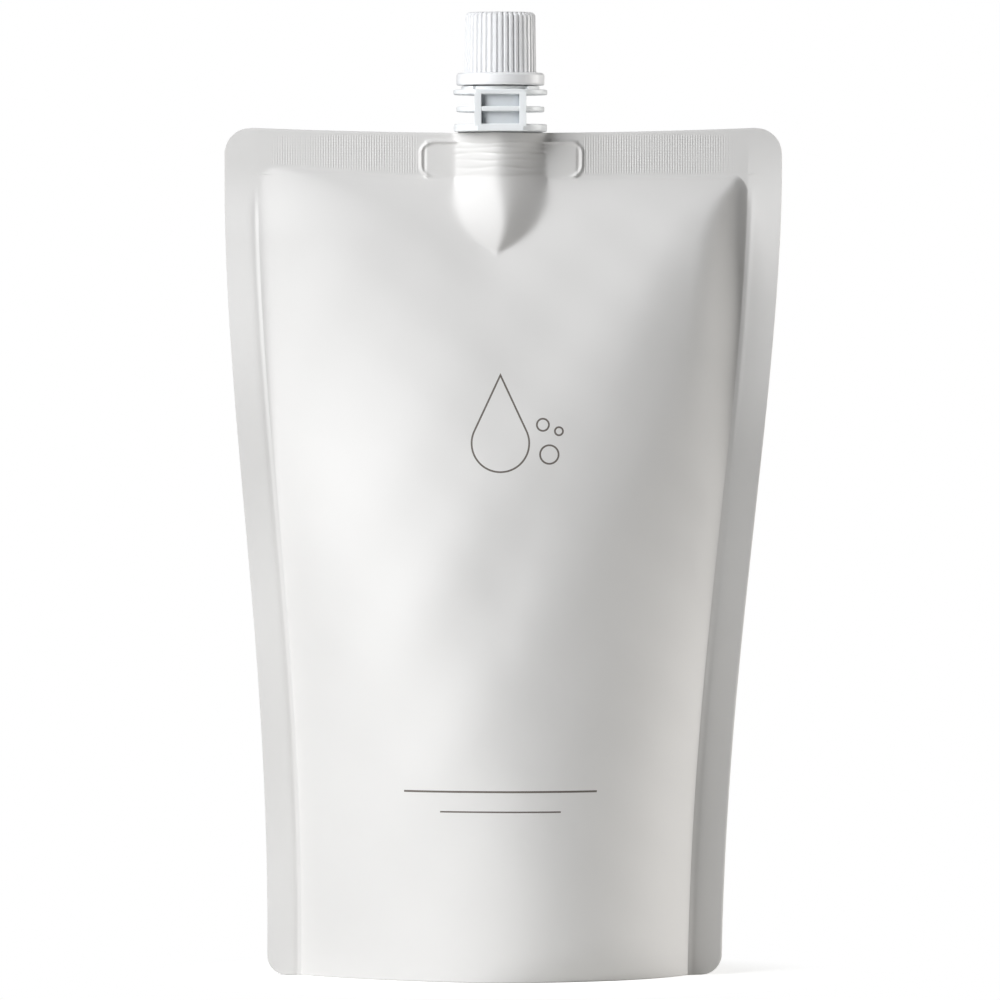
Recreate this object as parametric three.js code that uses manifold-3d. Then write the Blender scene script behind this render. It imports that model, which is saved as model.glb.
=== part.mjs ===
// A stand-up refill pouch of liquid soap, with a welded pouring spout, a screw cap and its tamper ring.
// Millimetres, +Z up, front towards -Y. The origin is on the floor, below the spout's axis.
import * as THREE from "three";
import { mergeVertices } from "three/addons/utils/BufferGeometryUtils.js";
import Module from "manifold-3d";

const wasm = await Module();
wasm.setup();

// Pouch: two film panels and a folded base, sealed down both sides and along the top
const POUCH_WIDTH = 140; // laid flat, edge to edge
const POUCH_HEIGHT = 213; // floor to the top corners
const SIDE_SEAL = 8.5;
const TOP_SEAL = 11.7;
const SEAL_THICKNESS = 0.5;
const BASE_WIDTH = 97.4; // between the side seals at the floor, when full
const BASE_DEPTH = 64; // front to back at the floor, when full
const BULGE_START = 1.2; // how gently the full panel leaves the top seal
const BULGE_POWER = 2.7; // how soon it reaches its full depth below
const SIDE_EASE = 0.88; // how soon the sides draw in below the top seal
const SWELL = 5; // how far the film stands out close below the top seal
const SWELL_RISE = 5.5; // it does so within about this height
const SWELL_FADE = 40; // and goes over into the full panel within this
const SWELL_PINCH = 0.75; // share of it that the weld holds back in the middle
const PINCH_REACH = 20; // to about this far from the spout's axis
const EDGE_ANGLE_TOP = 30; // degrees between panel and side seal, at the top
const EDGE_ANGLE_BASE = 55; // and at the floor
const EDGE_POWER = 2.2; // how late that angle closes on the way up
const HIP_START = 0.58; // share of the filled height above which the sides go over into flat hips
const HIP_FULL = 0.97; // and where they are hips altogether
const HIP_FLAT = 0.55; // share of a hip that is flat, before it bends into the panel
const TOP_CORNER_RADIUS = 7;
const FOOT_CORNER_RADIUS = 5;
const CHAMBER_CORNER_RADIUS = 4.5; // inside, where the side and top seals meet
const TOP_DIP = 1.3; // the top edge sags this much at the spout
const FOOT_RIM = 4; // flat rim that the full pouch stands on
const CREASE_RISE = 12; // height of the base fold's crease in the middle
const CREASE_RISE_ENDS = 30; // and where it runs into the side seals
const CREASE_POWER = 1.5; // how full the base fold's two leaves are, towards the crease
const CREASE_GAP = 1.2; // between the two leaves at those ends

// Weld: the film is sealed around the spout's foot, inside a raised outline
const FILM_THICKNESS = 0.4;
const WELD_OUTLINE_WIDTH = 40.3;
const WELD_OUTLINE_HEIGHT = 11.6;
const WELD_OUTLINE_RADIUS = 3;
const WELD_BEAD = 1; // width of the raised line
const WELD_BEAD_HEIGHT = 0.45;
const TONGUE_TAPER = 0.8; // the film draws in below the spout's foot by this much

// Spout: a moulded tube with a ribbed weld foot, three flanges, guide ribs and a neck
const NECK_RADIUS = 6;
const NECK_WALL = 1.4;
const NECK_LENGTH = 17.4; // above the top flange
const MOUTH_CHAMFER = 0.5;
const FOOT_HALF_WIDTH = 11; // over the weld ribs
const FOOT_WALL = 0.1; // in front of the tube, below the weld ribs
const FOOT_HEIGHT = 11; // below the lowest flange
const FOOT_RIB = 0.4;
const FOOT_RIB_HEIGHT = 1.1;
const FOOT_RIB_COUNT = 4;
const WING_HALF_LENGTH = 18.5;
const WING_THICKNESS = 0.8;
const WING_INSET = 0.9; // the wings stop this far below the film's edge
const FLANGE_HALF_DEPTH = 10.2; // the flanges are cut flat at front and back
const FLANGE_EDGE = 0.35;
const LOW_FLANGE_RADIUS = 11.7;
const LOW_FLANGE_THICKNESS = 1.85;
const MIDDLE_FLANGE_RADIUS = 11.05;
const MIDDLE_FLANGE_THICKNESS = 1.3;
const TOP_FLANGE_RADIUS = 11.8;
const TOP_FLANGE_THICKNESS = 1.25;
const LOW_SLOT = 3.1; // filling-rail slot above the lowest flange
const HIGH_SLOT = 3;
const GUIDE_RIB = 1.75;
const GUIDE_STAND = 0.5; // guide ribs stand this far outside the tube
const COLLAR_RADIUS = 9.4;
const COLLAR_HEIGHT = 0.85;
const LUG_RADIUS = 10.7;
const LUG_WIDTH = 1.8;
const LUG_COUNT = 4;
const BEAD_HEIGHT = 1.9; // how far the ring's stop stands out of the neck
const BEAD_LENGTH = 1;

// Tamper ring: a loose band, held down by the stop on the neck
const RING_HEIGHT = 3.1;
const RING_WALL = 2.85;
const RING_LIP = 1; // thickness of the lip under the stop
const RING_CHAMFER = 0.55;

// Cap: grip ribs outside, a sealing plug inside
const CAP_HEIGHT = 14.9;
const CAP_WALL = 1.3;
const CAP_TOP = 1.6;
const CAP_EDGE_RADIUS = 1.2;
const CAP_TAPER = 0.2; // the cap is this much slimmer at the top
const THREAD_HEIGHT = 0.8; // room for the thread between neck and cap
const GRIP_COUNT = 36;
const GRIP_DEPTH = 0.6;
const GRIP_SHARE = 0.5; // rib's share of the pitch at its foot
const GRIP_DRAFT = 0.72; // rib's crest against its foot
const GRIP_END = 0.7; // plain edge left above the grooves
const PLUG_LENGTH = 5;
const PLUG_WALL = 1.5;

// Fits between pieces
const CLEARANCE = 0.3;

// Steps of the curved faces
const ROUND_STEPS = 40;
const CURVE_STEPS = 6;
const CHAMBER_COLUMNS = 26;
const CHAMBER_ROWS = 22;
const RECESS_ROWS = 10;

// Heights of the pieces, from the floor up
const CHAMBER_TOP = POUCH_HEIGHT - TOP_SEAL;
const FILM_TOP = POUCH_HEIGHT - TOP_DIP;
const SHOULDER = FILM_TOP + CLEARANCE;
const FOOT_BOTTOM = SHOULDER - FOOT_HEIGHT;
const WING_TOP = FILM_TOP - WING_INSET;
const LOW_FLANGE_TOP = SHOULDER + LOW_FLANGE_THICKNESS;
const MIDDLE_FLANGE = LOW_FLANGE_TOP + LOW_SLOT;
const MIDDLE_FLANGE_TOP = MIDDLE_FLANGE + MIDDLE_FLANGE_THICKNESS;
const TOP_FLANGE = MIDDLE_FLANGE_TOP + HIGH_SLOT;
const NECK_FOOT = TOP_FLANGE + TOP_FLANGE_THICKNESS;
const COLLAR_TOP = NECK_FOOT + COLLAR_HEIGHT;
const MOUTH = NECK_FOOT + NECK_LENGTH;
const RING_FOOT = COLLAR_TOP + CLEARANCE;
const RING_TOP = RING_FOOT + RING_HEIGHT;
const BEAD_FOOT = RING_FOOT + RING_LIP + CLEARANCE;
const CAP_FOOT = RING_TOP + CLEARANCE;
const CAP_CREST = CAP_FOOT + CAP_HEIGHT;
const CAP_CEILING = CAP_CREST - CAP_TOP;

// Radii that follow from the fits
const BORE_RADIUS = NECK_RADIUS - NECK_WALL;
const FOOT_HALF_DEPTH = NECK_RADIUS + FOOT_WALL + FOOT_RIB;
const GUIDE_HALF_WIDTH = NECK_RADIUS + GUIDE_STAND;
const BEAD_RADIUS = NECK_RADIUS + BEAD_HEIGHT;
const RING_LIP_RADIUS = NECK_RADIUS + CLEARANCE;
const RING_BORE = BEAD_RADIUS + CLEARANCE;
const RING_RADIUS = RING_BORE + RING_WALL;
const CAP_BORE = NECK_RADIUS + THREAD_HEIGHT + CLEARANCE;
const GROOVE_RADIUS = CAP_BORE + CAP_WALL;
const CAP_RADIUS = GROOVE_RADIUS + GRIP_DEPTH;
const PLUG_RADIUS = BORE_RADIUS - CLEARANCE;

// From the spout's foot to the outside of the film that is welded over it
const FILM_GROWTH = CLEARANCE + FILM_THICKNESS;

const OVERRUN = 1; // cutters reach this far past the face they open
const MERGE = 1e-4;
const HALVINGS = 30; // steps to the height where the panel reaches a depth

// A closed geometry as a solid
function solid(geometry) {
  const bare = geometry.clone();
  bare.deleteAttribute("normal");
  bare.deleteAttribute("uv");
  const merged = mergeVertices(bare, MERGE);
  const index = merged.index.array;
  const triangles = [];
  for (let i = 0; i < index.length; i += 3) {
    const [a, b, c] = index.slice(i, i + 3);
    if (a !== b && b !== c && c !== a) triangles.push(a, b, c);
  }
  const vertProperties = merged.attributes.position.array;
  const triVerts = new Uint32Array(triangles);
  return new wasm.Manifold(new wasm.Mesh({ numProp: 3, vertProperties, triVerts }));
}

function toGeometry(body) {
  const { vertProperties, triVerts } = body.getMesh();
  const geometry = new THREE.BufferGeometry();
  geometry.setAttribute("position", new THREE.BufferAttribute(vertProperties, 3));
  geometry.setIndex(new THREE.BufferAttribute(triVerts, 1));
  geometry.computeVertexNormals();
  return geometry;
}

function join(...bodies) {
  return bodies.reduce((whole, body) => whole.add(body));
}

// An outline in the XY plane, raised from one height to another, with its edges broken if asked
function raise(shape, low, high, edge = 0) {
  const geometry = new THREE.ExtrudeGeometry(shape, {
    depth: high - low - 2 * edge,
    bevelEnabled: edge > 0,
    bevelThickness: edge,
    bevelSize: edge,
    bevelOffset: -edge,
    bevelSegments: 1,
    curveSegments: CURVE_STEPS,
  });
  return solid(geometry.translate(0, 0, low + edge));
}

// An outline in the XZ plane, given thickness evenly to front and back
function sheet(shape, thickness) {
  const settings = { depth: thickness, bevelEnabled: false, curveSegments: CURVE_STEPS };
  const geometry = new THREE.ExtrudeGeometry(shape, settings);
  return solid(geometry.translate(0, 0, -thickness / 2).rotateX(Math.PI / 2));
}

// A half section of [radius, height] corners, turned about the Z axis
function revolve(corners) {
  const profile = corners.map(([radius, height]) => new THREE.Vector2(radius, height));
  return solid(new THREE.LatheGeometry(profile, ROUND_STEPS).rotateX(Math.PI / 2));
}

function rod(radius, low, high) {
  return revolve([[0, low], [radius, low], [radius, high], [0, high]]);
}

// A tapered rod of oval section: half width and half depth at its top, and the share of them at its foot
function oval(halfWidth, halfDepth, low, high, share = 1) {
  const geometry = new THREE.CylinderGeometry(1, share, high - low, ROUND_STEPS).rotateX(Math.PI / 2);
  return solid(geometry.scale(halfWidth, halfDepth, 1).translate(0, 0, (low + high) / 2));
}

// The solid between two grids of points that have the same rows and columns
function between(columns, rows, face, back) {
  const points = [];
  const index = [];
  for (const side of [face, back]) {
    for (let row = 0; row <= rows; row++) {
      for (let column = 0; column <= columns; column++) points.push(...side(column, row));
    }
  }
  const at = (side, column, row) => side * (columns + 1) * (rows + 1) + row * (columns + 1) + column;
  const quad = (a, b, c, d) => index.push(a, b, c, a, c, d);
  for (let row = 0; row < rows; row++) {
    for (let column = 0; column < columns; column++) {
      const right = column + 1;
      const up = row + 1;
      quad(at(0, column, row), at(0, right, row), at(0, right, up), at(0, column, up));
      quad(at(1, column, row), at(1, column, up), at(1, right, up), at(1, right, row));
    }
  }
  for (let column = 0; column < columns; column++) {
    const right = column + 1;
    quad(at(0, right, 0), at(0, column, 0), at(1, column, 0), at(1, right, 0));
    quad(at(0, column, rows), at(0, right, rows), at(1, right, rows), at(1, column, rows));
  }
  for (let row = 0; row < rows; row++) {
    const up = row + 1;
    quad(at(0, 0, row), at(0, 0, up), at(1, 0, up), at(1, 0, row));
    quad(at(0, columns, up), at(0, columns, row), at(1, columns, row), at(1, columns, up));
  }
  const geometry = new THREE.BufferGeometry();
  geometry.setAttribute("position", new THREE.Float32BufferAttribute(points, 3));
  geometry.setIndex(index);
  return solid(geometry);
}

// How much a corner of this radius takes off the width, at a distance from the end
function cornerCut(distance, radius) {
  const inset = Math.max(0, radius - distance);
  return radius - Math.sqrt(radius ** 2 - inset ** 2);
}

// Half the width between the side seals: the sides draw in as the pouch fills out below
function halfWidthAt(z) {
  const fall = Math.max(0, 1 - z / CHAMBER_TOP);
  const ease = Math.sin((Math.PI / 2) * fall ** SIDE_EASE) ** 2;
  return THREE.MathUtils.lerp(POUCH_WIDTH / 2 - SIDE_SEAL, BASE_WIDTH / 2, ease);
}

function chamberHalfWidthAt(z) {
  return halfWidthAt(z) - cornerCut(CHAMBER_TOP - z, CHAMBER_CORNER_RADIUS);
}

function bulgeAt(z) {
  const fall = 1 - z / CHAMBER_TOP;
  return (BASE_DEPTH / 2) * (1 - (1 - fall ** BULGE_START) ** BULGE_POWER);
}

// How far the film stands out close below the top seal, less so beside the spout
function swellAt(x, z) {
  const below = CHAMBER_TOP - z;
  const rise = (1 - Math.exp(-below / SWELL_RISE)) * Math.exp(-below / SWELL_FADE);
  return SWELL * rise * (1 - SWELL_PINCH * Math.exp(-((x / PINCH_REACH) ** 2)));
}

// Depth at a distance inside the side seal: one round shoulder, up to the panel's full depth
function roundShoulder(inside, half, depth, edgeAngle) {
  const shoulder = Math.min(half, depth / Math.tan(edgeAngle / 2));
  const radius = (shoulder ** 2 + depth ** 2) / (2 * depth);
  const along = Math.max(0, shoulder - inside);
  return depth - radius + Math.sqrt(radius ** 2 - along ** 2);
}

// The same with a flat slope at the seal, which then bends into the panel
function flatHip(inside, half, depth, edgeAngle) {
  const end = Math.min(half, (2 * depth) / (Math.tan(edgeAngle) * (1 + HIP_FLAT)));
  const slope = (2 * depth) / (end * (1 + HIP_FLAT));
  const reach = Math.min(inside, end);
  const bent = Math.max(0, reach - HIP_FLAT * end);
  return slope * (reach - bent ** 2 / (2 * end * (1 - HIP_FLAT)));
}

// Depth of the filled panel: flat in the middle, round at the sides low down, with flat hips at the top
function panelDepthAt(x, z) {
  const half = chamberHalfWidthAt(z);
  const inside = Math.max(0, half - Math.abs(x));
  const depth = Math.max(SEAL_THICKNESS / 4, bulgeAt(z) + swellAt(x, z));
  const share = z / CHAMBER_TOP;
  const degrees = THREE.MathUtils.lerp(EDGE_ANGLE_BASE, EDGE_ANGLE_TOP, share ** EDGE_POWER);
  const edgeAngle = THREE.MathUtils.degToRad(degrees);
  const rounded = roundShoulder(inside, half, depth, edgeAngle);
  const hipped = flatHip(inside, half, depth, edgeAngle);
  const hip = THREE.MathUtils.smoothstep(share, HIP_START, HIP_FULL);
  return Math.max(0, THREE.MathUtils.lerp(rounded, hipped, hip));
}

// The height where the panel's middle has this depth
function heightOfMidDepth(depth) {
  let low = 0;
  let high = CHAMBER_TOP;
  for (let step = 0; step < HALVINGS; step++) {
    const middle = (low + high) / 2;
    if (panelDepthAt(0, middle) > depth) low = middle;
    else high = middle;
  }
  return (low + high) / 2;
}

// Column positions from -1 to 1, closer together towards the sides
function spread(column, columns) {
  return Math.sin((Math.PI / 2) * ((2 * column) / columns - 1));
}

function chamber() {
  const point = (way) => (column, row) => {
    const z = CHAMBER_TOP * Math.sin((Math.PI / 2) * (row / CHAMBER_ROWS));
    const x = spread(column, CHAMBER_COLUMNS) * chamberHalfWidthAt(z);
    const atSeal = column === 0 || column === CHAMBER_COLUMNS;
    return [x, atSeal ? 0 : way * panelDepthAt(x, z), z];
  };
  return between(CHAMBER_COLUMNS, CHAMBER_ROWS, point(-1), point(1));
}

// The hollow under the pouch, between the two leaves of the base fold
function baseRecess() {
  const reach = recessHalfLength();
  const corner = (column, row) => {
    const across = spread(column, CHAMBER_COLUMNS);
    const x = across * reach;
    const along = (2 * row) / RECESS_ROWS - 1;
    const y = along * (panelDepthAt(x, 0) - FOOT_RIM);
    const crease = THREE.MathUtils.lerp(CREASE_RISE, CREASE_RISE_ENDS, across ** 2);
    return [x, y, crease * (1 - Math.abs(along) ** CREASE_POWER)];
  };
  const below = (column, row) => {
    const [x, y] = corner(column, row);
    return [x, y, -OVERRUN];
  };
  return between(CHAMBER_COLUMNS, RECESS_ROWS, corner, below);
}

// Where the two panels have come as close at the floor as their two rims and the gap between them
function recessHalfLength() {
  const half = chamberHalfWidthAt(0);
  const depth = BASE_DEPTH / 2;
  const radius = (half ** 2 + depth ** 2) / (2 * depth);
  return Math.sqrt(radius ** 2 - (radius - depth + FOOT_RIM + CREASE_GAP / 2) ** 2);
}

// Outline of the flat film: side seals, top seal and round corners
function filmOutline() {
  const outerAt = (z) => halfWidthAt(z) + SIDE_SEAL;
  const low = FOOT_CORNER_RADIUS;
  const high = POUCH_HEIGHT - TOP_CORNER_RADIUS;
  const steps = CHAMBER_ROWS / 2;
  const side = [];
  for (let step = 1; step <= steps; step++) {
    const z = THREE.MathUtils.lerp(low, high, step / steps);
    side.push(new THREE.Vector2(outerAt(z), z));
  }
  const back = side.map((point) => new THREE.Vector2(-point.x, point.y)).reverse();
  const foot = outerAt(low) - low;
  const top = outerAt(high) - TOP_CORNER_RADIUS;
  const shape = new THREE.Shape();
  shape.moveTo(-foot, 0);
  shape.absarc(foot, low, low, -Math.PI / 2, 0);
  shape.splineThru(side);
  shape.absarc(top, high, TOP_CORNER_RADIUS, 0, Math.PI / 2);
  shape.quadraticCurveTo(0, POUCH_HEIGHT - 2 * TOP_DIP, -top, POUCH_HEIGHT);
  shape.absarc(-top, high, TOP_CORNER_RADIUS, Math.PI / 2, Math.PI);
  shape.splineThru([...back.slice(1), new THREE.Vector2(-foot - low, low)]);
  shape.absarc(-foot, low, low, Math.PI, 1.5 * Math.PI);
  return shape;
}

function roundedRectangle(path, halfWidth, low, high, radius) {
  path.moveTo(-halfWidth + radius, low);
  path.absarc(halfWidth - radius, low + radius, radius, -Math.PI / 2, 0);
  path.absarc(halfWidth - radius, high - radius, radius, 0, Math.PI / 2);
  path.absarc(-halfWidth + radius, high - radius, radius, Math.PI / 2, Math.PI);
  path.absarc(-halfWidth + radius, low + radius, radius, Math.PI, 1.5 * Math.PI);
  path.closePath();
  return path;
}

// Raised line around the weld, on both faces of the film
function weldBead() {
  const half = WELD_OUTLINE_WIDTH / 2;
  const high = FILM_TOP - FILM_THICKNESS;
  const low = high - WELD_OUTLINE_HEIGHT;
  const shape = roundedRectangle(new THREE.Shape(), half, low, high, WELD_OUTLINE_RADIUS);
  const inner = half - WELD_BEAD;
  const corner = WELD_OUTLINE_RADIUS - WELD_BEAD;
  shape.holes.push(roundedRectangle(new THREE.Path(), inner, low + WELD_BEAD, high - WELD_BEAD, corner));
  return sheet(shape, WING_THICKNESS + 2 * (FILM_GROWTH + WELD_BEAD_HEIGHT));
}

// Flat wings to both sides of the spout's foot, grown all round
function wings(growth, low, high) {
  const end = WING_THICKNESS / 2 + growth;
  const reach = WING_HALF_LENGTH + growth - end;
  const shape = new THREE.Shape();
  shape.absarc(reach, 0, end, -Math.PI / 2, Math.PI / 2);
  shape.absarc(-reach, 0, end, Math.PI / 2, 1.5 * Math.PI);
  return raise(shape, low, high);
}

// The space that the spout's foot takes up, grown all round
function footSpace(growth, barrelTop, wingTop) {
  const low = FOOT_BOTTOM - growth;
  const barrel = oval(FOOT_HALF_WIDTH + growth, FOOT_HALF_DEPTH + growth, low, barrelTop);
  return join(barrel, wings(growth, low, wingTop));
}

// The film drawn in below the spout's foot, down to where the full panel meets it
function filmTongue() {
  const halfWidth = FOOT_HALF_WIDTH + CLEARANCE;
  const halfDepth = FOOT_HALF_DEPTH + CLEARANCE;
  const high = FOOT_BOTTOM - CLEARANCE - FILM_THICKNESS / 2;
  return oval(halfWidth, halfDepth, heightOfMidDepth(halfDepth), high, TONGUE_TAPER);
}

function pouch() {
  const film = sheet(filmOutline(), SEAL_THICKNESS);
  const filmOverFoot = footSpace(FILM_GROWTH, FILM_TOP, FILM_TOP);
  const pocket = footSpace(CLEARANCE, POUCH_HEIGHT + OVERRUN, WING_TOP + CLEARANCE);
  const full = join(film, chamber(), filmTongue(), filmOverFoot, weldBead());
  return full.subtract(pocket).subtract(baseRecess());
}

// A round flange with flat front and back
function flange(radius, low, thickness) {
  const turn = Math.asin(Math.min(1, FLANGE_HALF_DEPTH / radius));
  const shape = new THREE.Shape();
  shape.absarc(0, 0, radius, -turn, turn);
  shape.absarc(0, 0, radius, Math.PI - turn, Math.PI + turn);
  return raise(shape, low, low + thickness, FLANGE_EDGE);
}

// Two walls from front to back, which the filling rails run along
function guideRibs() {
  const height = TOP_FLANGE + TOP_FLANGE_THICKNESS / 2 - (SHOULDER + LOW_FLANGE_THICKNESS / 2);
  const middle = SHOULDER + LOW_FLANGE_THICKNESS / 2 + height / 2;
  const ribs = [-1, 1].map((side) => {
    const box = new THREE.BoxGeometry(GUIDE_RIB, 2 * FLANGE_HALF_DEPTH, height);
    return solid(box.translate(side * (GUIDE_HALF_WIDTH - GUIDE_RIB / 2), 0, middle));
  });
  return join(...ribs);
}

// Stops around the collar that the ring sits over
function lugs() {
  const length = LUG_RADIUS - NECK_RADIUS;
  const stops = [];
  for (let count = 0; count < LUG_COUNT; count++) {
    const box = new THREE.BoxGeometry(length, LUG_WIDTH, COLLAR_HEIGHT + TOP_FLANGE_THICKNESS / 2);
    box.translate(NECK_RADIUS + length / 2, 0, COLLAR_TOP - (COLLAR_HEIGHT + TOP_FLANGE_THICKNESS / 2) / 2);
    box.rotateZ(((count + 0.5) * 2 * Math.PI) / LUG_COUNT);
    stops.push(solid(box));
  }
  return join(...stops);
}

// The part that the film is welded to: an oval barrel with level ribs, and its wings
function weldFoot() {
  const high = SHOULDER + LOW_FLANGE_THICKNESS / 2;
  const barrel = oval(FOOT_HALF_WIDTH - FOOT_RIB, FOOT_HALF_DEPTH - FOOT_RIB, FOOT_BOTTOM, high);
  const pitch = (FOOT_HEIGHT - FOOT_RIB_HEIGHT) / FOOT_RIB_COUNT;
  const ribs = [];
  for (let count = 0; count < FOOT_RIB_COUNT; count++) {
    const low = FOOT_BOTTOM + count * pitch;
    ribs.push(oval(FOOT_HALF_WIDTH, FOOT_HALF_DEPTH, low, low + FOOT_RIB_HEIGHT));
  }
  return join(barrel, wings(0, FOOT_BOTTOM, WING_TOP), ...ribs);
}

function spout() {
  const slope = BEAD_HEIGHT / 3;
  const tube = revolve([
    [0, FOOT_BOTTOM],
    [NECK_RADIUS, FOOT_BOTTOM],
    [NECK_RADIUS, NECK_FOOT],
    [COLLAR_RADIUS, NECK_FOOT],
    [COLLAR_RADIUS, COLLAR_TOP],
    [NECK_RADIUS, COLLAR_TOP],
    [NECK_RADIUS, BEAD_FOOT],
    [BEAD_RADIUS, BEAD_FOOT],
    [BEAD_RADIUS, BEAD_FOOT + BEAD_LENGTH - slope],
    [BEAD_RADIUS - slope, BEAD_FOOT + BEAD_LENGTH],
    [NECK_RADIUS, BEAD_FOOT + BEAD_LENGTH],
    [NECK_RADIUS, MOUTH - MOUTH_CHAMFER],
    [NECK_RADIUS - MOUTH_CHAMFER, MOUTH],
    [0, MOUTH],
  ]);
  const body = join(
    tube,
    weldFoot(),
    flange(LOW_FLANGE_RADIUS, SHOULDER, LOW_FLANGE_THICKNESS),
    flange(MIDDLE_FLANGE_RADIUS, MIDDLE_FLANGE, MIDDLE_FLANGE_THICKNESS),
    flange(TOP_FLANGE_RADIUS, TOP_FLANGE, TOP_FLANGE_THICKNESS),
    guideRibs(),
    lugs(),
  );
  return body.subtract(rod(BORE_RADIUS, FOOT_BOTTOM - OVERRUN, MOUTH + OVERRUN));
}

function tamperRing() {
  const lipTop = RING_FOOT + RING_LIP;
  return revolve([
    [RING_LIP_RADIUS, RING_FOOT],
    [RING_RADIUS, RING_FOOT],
    [RING_RADIUS, RING_TOP - RING_CHAMFER],
    [RING_RADIUS - RING_CHAMFER, RING_TOP],
    [RING_BORE, RING_TOP],
    [RING_BORE, lipTop],
    [RING_LIP_RADIUS, lipTop],
    [RING_LIP_RADIUS, RING_FOOT],
  ]);
}

// The space around the grip ribs: a wide ring with a toothed hole
function gripGrooves() {
  const pitch = (2 * Math.PI) / GRIP_COUNT;
  const footHalf = (pitch * GRIP_SHARE) / 2;
  const crestHalf = footHalf * GRIP_DRAFT;
  const crest = CAP_RADIUS + OVERRUN;
  const teeth = [];
  for (let count = 0; count < GRIP_COUNT; count++) {
    const middle = count * pitch;
    const leading = [[GROOVE_RADIUS, -footHalf], [crest, -crestHalf]];
    const trailing = [[crest, crestHalf], [GROOVE_RADIUS, footHalf]];
    for (const [radius, turn] of [...leading, ...trailing]) {
      teeth.push(new THREE.Vector2(radius * Math.cos(middle + turn), radius * Math.sin(middle + turn)));
    }
  }
  const shape = new THREE.Shape();
  shape.absarc(0, 0, crest + OVERRUN, 0, 2 * Math.PI);
  shape.holes.push(new THREE.Path(teeth));
  return raise(shape, CAP_FOOT - OVERRUN, CAP_CREST - GRIP_END);
}

function cap() {
  const crestRadius = CAP_RADIUS - CAP_TAPER;
  const edge = [];
  for (let step = 0; step <= CURVE_STEPS; step++) {
    const turn = (Math.PI / 2) * (step / CURVE_STEPS);
    const radius = crestRadius - CAP_EDGE_RADIUS * (1 - Math.cos(turn));
    edge.push([radius, CAP_CREST - CAP_EDGE_RADIUS * (1 - Math.sin(turn))]);
  }
  const outside = revolve([[0, CAP_FOOT], [CAP_RADIUS, CAP_FOOT], ...edge, [0, CAP_CREST]]);
  const inside = revolve([
    [0, CAP_FOOT - OVERRUN],
    [CAP_BORE, CAP_FOOT - OVERRUN],
    [CAP_BORE, CAP_CEILING],
    [PLUG_RADIUS, CAP_CEILING],
    [PLUG_RADIUS, CAP_CEILING - PLUG_LENGTH],
    [PLUG_RADIUS - PLUG_WALL, CAP_CEILING - PLUG_LENGTH],
    [PLUG_RADIUS - PLUG_WALL, CAP_CEILING],
    [0, CAP_CEILING],
  ]);
  return outside.subtract(gripGrooves()).subtract(inside);
}

const filmMaterial = new THREE.MeshStandardMaterial({ color: 0xe3e2df, roughness: 0.38, metalness: 0.3 });
const mouldedMaterial = new THREE.MeshStandardMaterial({ color: 0xf1f3f5, roughness: 0.45, metalness: 0 });

const pack = new THREE.Group();
const pieces = [
  ["pouch", pouch(), filmMaterial],
  ["spout", spout(), mouldedMaterial],
  ["tamper_ring", tamperRing(), mouldedMaterial],
  ["cap", cap(), mouldedMaterial],
];
for (const [name, body, material] of pieces) {
  const mesh = new THREE.Mesh(toGeometry(body), material);
  mesh.name = name;
  pack.add(mesh);
}

export default pack;
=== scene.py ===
"""A spouted stand-up refill pouch for liquid soap: film pouch, pouring spout, tamper ring and screw cap."""

import math

import bmesh
import bpy
import numpy as np
from bpy.props import FloatProperty, FloatVectorProperty, IntProperty, PointerProperty
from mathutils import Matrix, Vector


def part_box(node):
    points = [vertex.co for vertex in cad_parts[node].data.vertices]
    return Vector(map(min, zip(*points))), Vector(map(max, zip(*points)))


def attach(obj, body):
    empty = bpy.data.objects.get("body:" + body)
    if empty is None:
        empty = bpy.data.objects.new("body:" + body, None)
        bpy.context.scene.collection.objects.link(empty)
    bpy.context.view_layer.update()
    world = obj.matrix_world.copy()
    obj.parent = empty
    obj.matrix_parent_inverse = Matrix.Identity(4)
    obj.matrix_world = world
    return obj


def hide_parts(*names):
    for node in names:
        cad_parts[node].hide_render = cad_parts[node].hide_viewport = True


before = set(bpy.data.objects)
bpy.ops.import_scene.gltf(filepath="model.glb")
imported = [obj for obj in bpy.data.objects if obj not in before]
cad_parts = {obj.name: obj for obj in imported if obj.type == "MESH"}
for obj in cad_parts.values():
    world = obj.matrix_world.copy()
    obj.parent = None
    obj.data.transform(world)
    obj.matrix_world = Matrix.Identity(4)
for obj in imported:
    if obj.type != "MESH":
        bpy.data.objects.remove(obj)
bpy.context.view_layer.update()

bl_info = {
    "name": "Spouted refill pouch",
    "version": (1, 0, 0),
    "blender": (4, 5, 0),
    "location": "View3D > Sidebar > Refill pouch",
    "description": "Models a stand-up refill pouch with its spout, tamper ring and screw cap",
    "category": "Add Mesh",
}

MM = 0.001
FULL_TURN = 2 * math.pi
POUCH_LOW, POUCH_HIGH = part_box("pouch")
SPOUT_LOW, SPOUT_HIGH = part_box("spout")
RING_LOW, RING_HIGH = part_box("tamper_ring")
CAP_LOW, CAP_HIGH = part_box("cap")


def linear(code):
    """Linear colour of an sRGB hex value."""
    parts = [int(code[at:at + 2], 16) / 255 for at in (0, 2, 4)]
    return tuple(p / 12.92 if p <= 0.04045 else ((p + 0.055) / 1.055) ** 2.4 for p in parts)


def length(name, description, default):
    return FloatProperty(
        name=name, description=description, default=default, min=0.0, unit="LENGTH", precision=5
    )


def angle(name, description, degrees):
    return FloatProperty(name=name, description=description, default=math.radians(degrees), unit="ROTATION")


def power(name, description, watts):
    return FloatProperty(name=name, description=description, default=watts, min=0.0, unit="POWER")


def colour(name, description, code):
    return FloatVectorProperty(
        name=name, description=description, default=linear(code), subtype="COLOR", size=3, min=0.0, max=1.0
    )


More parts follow.
